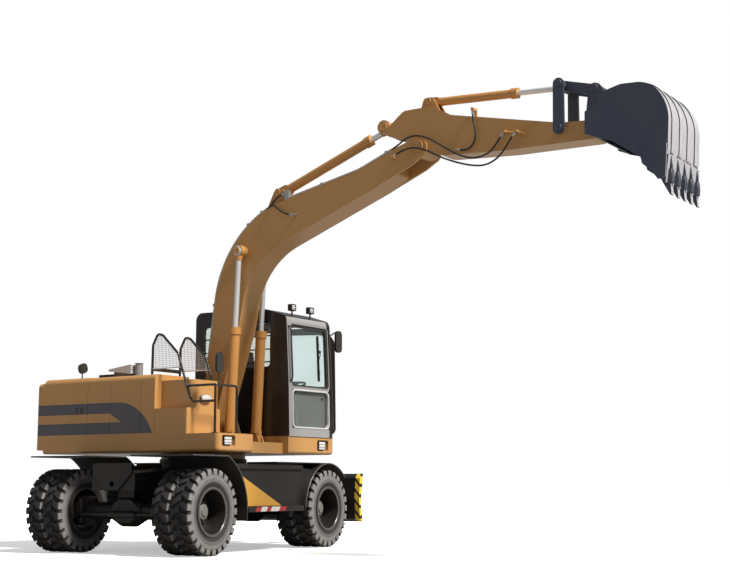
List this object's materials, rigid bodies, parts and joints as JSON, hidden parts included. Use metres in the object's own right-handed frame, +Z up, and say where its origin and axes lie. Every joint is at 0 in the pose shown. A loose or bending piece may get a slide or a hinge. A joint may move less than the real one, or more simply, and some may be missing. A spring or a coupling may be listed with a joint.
{
  "type": "wheeled excavator",
  "caption": "Wheeled excavator: twin-tyred chassis with a levelling blade carries a turning upper body with a glazed cab, a cranked boom, an arm and a digging bucket.",
  "frame": {"origin": "under the middle of the whole machine's box, on the ground", "axes": "+X along the boom towards the bucket, +Y to the operator's left, +Z up"},
  "size_m": [9.2078, 4.494, 5.5259],
  "materials": {
    "body_ochre": "satin ochre paint",
    "cab_dark": "satin charcoal paint",
    "chassis_black": "dusty black paint",
    "tool_navy": "worn navy paint",
    "cylinder_orange": "satin orange paint",
    "rod_chrome": "polished",
    "cab_glazing": "pale green tint",
    "tyre_rubber": "dusty",
    "rim_black": "satin black paint",
    "engine_grey": "rough",
    "exhaust_steel": "heat dulled",
    "seat_cloth": "woven",
    "black_plastic": "matte",
    "hose_rubber": "matte"
  },
  "bodies": {
    "chassis": {"chassis_frame": "chassis_black", "swing_ring": "chassis_black", "front_axle": "chassis_black", "rear_axle": "chassis_black", "driveline": "chassis_black", "fenders": "black_plastic", "step_boxes": "chassis_black"},
    "steering_rod": {"steering_rod": "rod_chrome"},
    "knuckle_left": {"knuckle_left": "chassis_black"},
    "knuckle_right": {"knuckle_right": "chassis_black"},
    "wheel_front_left": {"tyres_front_left": "tyre_rubber", "rims_front_left": "rim_black"},
    "wheel_front_right": {"tyres_front_right": "tyre_rubber", "rims_front_right": "rim_black"},
    "wheel_rear_left": {"tyres_rear_left": "tyre_rubber", "rims_rear_left": "rim_black"},
    "wheel_rear_right": {"tyres_rear_right": "tyre_rubber", "rims_rear_right": "rim_black"},
    "blade": {"blade": "chassis_black"},
    "blade_barrels": {"blade_barrels": "cylinder_orange"},
    "blade_rods": {"blade_rods": "rod_chrome"},
    "upper": {"deck": "body_ochre", "counterweight": "body_ochre", "hood": "body_ochre", "right_housing": "body_ochre", "left_housing": "body_ochre", "centre_cover": "body_ochre", "fuel_tank": "chassis_black", "tool_box": "body_ochre", "engine": "engine_grey", "swing_drive": "chassis_black", "cab_shell": "cab_dark", "cab_glass": "cab_glazing", "seat_pads": "seat_cloth", "seat_base": "black_plastic", "steering_column": "black_plastic", "exhaust": "exhaust_steel", "handrails": "chassis_black", "mirrors": "black_plastic", "lamps": "black_plastic", "hood_vent": "body_ochre"},
    "door": {"door": "cab_dark", "door_glass": "cab_glazing"},
    "boom": {"boom": "body_ochre", "boom_pipes": "rod_chrome", "hose_crowd": "hose_rubber", "hose_side": "hose_rubber", "hose_arm_upper": "hose_rubber", "hose_arm_lower": "hose_rubber"},
    "boom_barrels": {"boom_barrels": "cylinder_orange"},
    "boom_rods": {"boom_rods": "rod_chrome"},
    "arm": {"arm": "body_ochre", "hose_curl": "hose_rubber"},
    "arm_barrel": {"arm_barrel": "cylinder_orange"},
    "arm_rod": {"arm_rod": "rod_chrome"},
    "bucket": {"bucket": "tool_navy"},
    "bucket_barrel": {"bucket_barrel": "cylinder_orange"},
    "bucket_rod": {"bucket_rod": "rod_chrome"},
    "bucket_link": {"bucket_link": "tool_navy"},
    "rockers": {"rockers": "tool_navy"}
  },
  "joints": [
    {"name": "swing", "type": "hinge", "parent": "chassis", "child": "upper", "pos_m": [-2.31388, -0.10777, 1.18], "axis": [0, 0, 1], "continuous": true},
    {"name": "boom_lift", "type": "hinge", "parent": "upper", "child": "boom", "pos_m": [-1.94388, -0.29777, 1.72], "axis": [0, -1, 0], "range_deg": [-72, 10]},
    {"name": "boom_barrel_tilt", "type": "hinge", "parent": "upper", "child": "boom_barrels", "pos_m": [-1.49188, -0.29777, 1.42], "axis": [0, -1, 0], "range_deg": [-75, 11]},
    {"name": "boom_rod_slide", "type": "slide", "parent": "boom_barrels", "child": "boom_rods", "axis": [0.0483, 0, 0.9988], "range_m": [-0.63, 0.09]},
    {"name": "arm_crowd", "type": "hinge", "parent": "boom", "child": "arm", "pos_m": [1.31012, -0.29777, 4.9], "axis": [0, 1, 0], "range_deg": [-7, 107]},
    {"name": "arm_barrel_tilt", "type": "hinge", "parent": "boom", "child": "arm_barrel", "pos_m": [-0.88288, -0.29777, 4.614], "axis": [0, 1, 0], "range_deg": [-1, 6]},
    {"name": "arm_rod_slide", "type": "slide", "parent": "arm_barrel", "child": "arm_rod", "axis": [0.9383, 0, 0.3459], "range_m": [-0.065, 0.97]},
    {"name": "bucket_curl", "type": "hinge", "parent": "arm", "child": "bucket", "pos_m": [3.57712, -0.29777, 4.785], "axis": [0, 1, 0], "range_deg": [-45, 88]},
    {"name": "bucket_link_turn", "type": "hinge", "parent": "bucket", "child": "bucket_link", "pos_m": [3.62112, -0.29777, 5.247], "axis": [0, 1, 0], "range_deg": [-75, 40]},
    {"name": "rocker_swing", "type": "hinge", "parent": "arm", "child": "rockers", "pos_m": [3.19212, -0.29777, 4.847], "axis": [0, 1, 0], "range_deg": [-40, 75]},
    {"name": "bucket_barrel_tilt", "type": "hinge", "parent": "arm", "child": "bucket_barrel", "pos_m": [1.40112, -0.29777, 5.474], "axis": [0, 1, 0], "range_deg": [-2, 4]},
    {"name": "bucket_rod_slide", "type": "slide", "parent": "bucket_barrel", "child": "bucket_rod", "axis": [0.9982, 0, -0.0594], "range_m": [-0.3, 0.58]},
    {"name": "blade_lift", "type": "hinge", "parent": "chassis", "child": "blade", "pos_m": [-2.4299, 1.23724, 0.74], "axis": [0.9963, 0.0859, 0], "range_deg": [-28, 10]},
    {"name": "blade_barrel_tilt", "type": "hinge", "parent": "chassis", "child": "blade_barrels", "pos_m": [-2.47115, 1.71546, 1.08], "axis": [0.9963, 0.0859, 0], "range_deg": [-23, 9]},
    {"name": "blade_rod_slide", "type": "slide", "parent": "blade_barrels", "child": "blade_rods", "axis": [-0.0331, 0.3843, -0.9226], "range_m": [-0.1, 0.27]},
    {"name": "steer_left", "type": "hinge", "parent": "chassis", "child": "knuckle_left", "pos_m": [-1.40614, -1.55512, 0.522], "axis": [0, 0, 1], "range_deg": [-28, 28]},
    {"name": "steer_right", "type": "hinge", "parent": "chassis", "child": "knuckle_right", "pos_m": [-2.96037, -1.68918, 0.522], "axis": [0, 0, 1], "range_deg": [-29, 29]},
    {"name": "steer_rod", "type": "slide", "parent": "chassis", "child": "steering_rod", "axis": [0.9963, 0.0859, 0], "range_m": [-0.085, 0.085]},
    {"name": "door_swing", "type": "hinge", "parent": "upper", "child": "door", "pos_m": [-1.91688, 1.06623, 2.27], "axis": [0, 0, 1], "range_deg": [-25, 120]},
    {"name": "roll_front_left", "type": "hinge", "parent": "knuckle_left", "child": "wheel_front_left", "pos_m": [-1.21236, -1.5384, 0.522], "axis": [0.9963, 0.0859, 0], "continuous": true},
    {"name": "roll_front_right", "type": "hinge", "parent": "knuckle_right", "child": "wheel_front_right", "pos_m": [-3.15415, -1.70589, 0.522], "axis": [0.9963, 0.0859, 0], "continuous": true},
    {"name": "roll_rear_left", "type": "hinge", "parent": "chassis", "child": "wheel_rear_left", "pos_m": [-1.44697, 1.1815, 0.522], "axis": [0.9963, 0.0859, 0], "continuous": true},
    {"name": "roll_rear_right", "type": "hinge", "parent": "chassis", "child": "wheel_rear_right", "pos_m": [-3.38876, 1.01401, 0.522], "axis": [0.9963, 0.0859, 0], "continuous": true}
  ],
  "couplings": [
    {"joint": "boom_barrel_tilt", "follows": "boom_lift", "ratio": 1.02},
    {"joint": "boom_rod_slide", "follows": "boom_lift", "m_per_rad": 0.49},
    {"joint": "arm_barrel_tilt", "follows": "arm_crowd", "ratio": 0.0536},
    {"joint": "arm_rod_slide", "follows": "arm_crowd", "m_per_rad": 0.515},
    {"joint": "bucket_link_turn", "follows": "bucket_curl", "ratio": -0.83},
    {"joint": "rocker_swing", "follows": "bucket_curl", "ratio": 0.83},
    {"joint": "bucket_barrel_tilt", "follows": "bucket_curl", "ratio": 0.035},
    {"joint": "bucket_rod_slide", "follows": "bucket_curl", "m_per_rad": 0.37},
    {"joint": "blade_barrel_tilt", "follows": "blade_lift", "ratio": 0.78},
    {"joint": "blade_rod_slide", "follows": "blade_lift", "m_per_rad": -0.545},
    {"joint": "steer_right", "follows": "steer_left", "ratio": 1},
    {"joint": "steer_rod", "follows": "steer_left", "m_per_rad": 0.165}
  ]
}
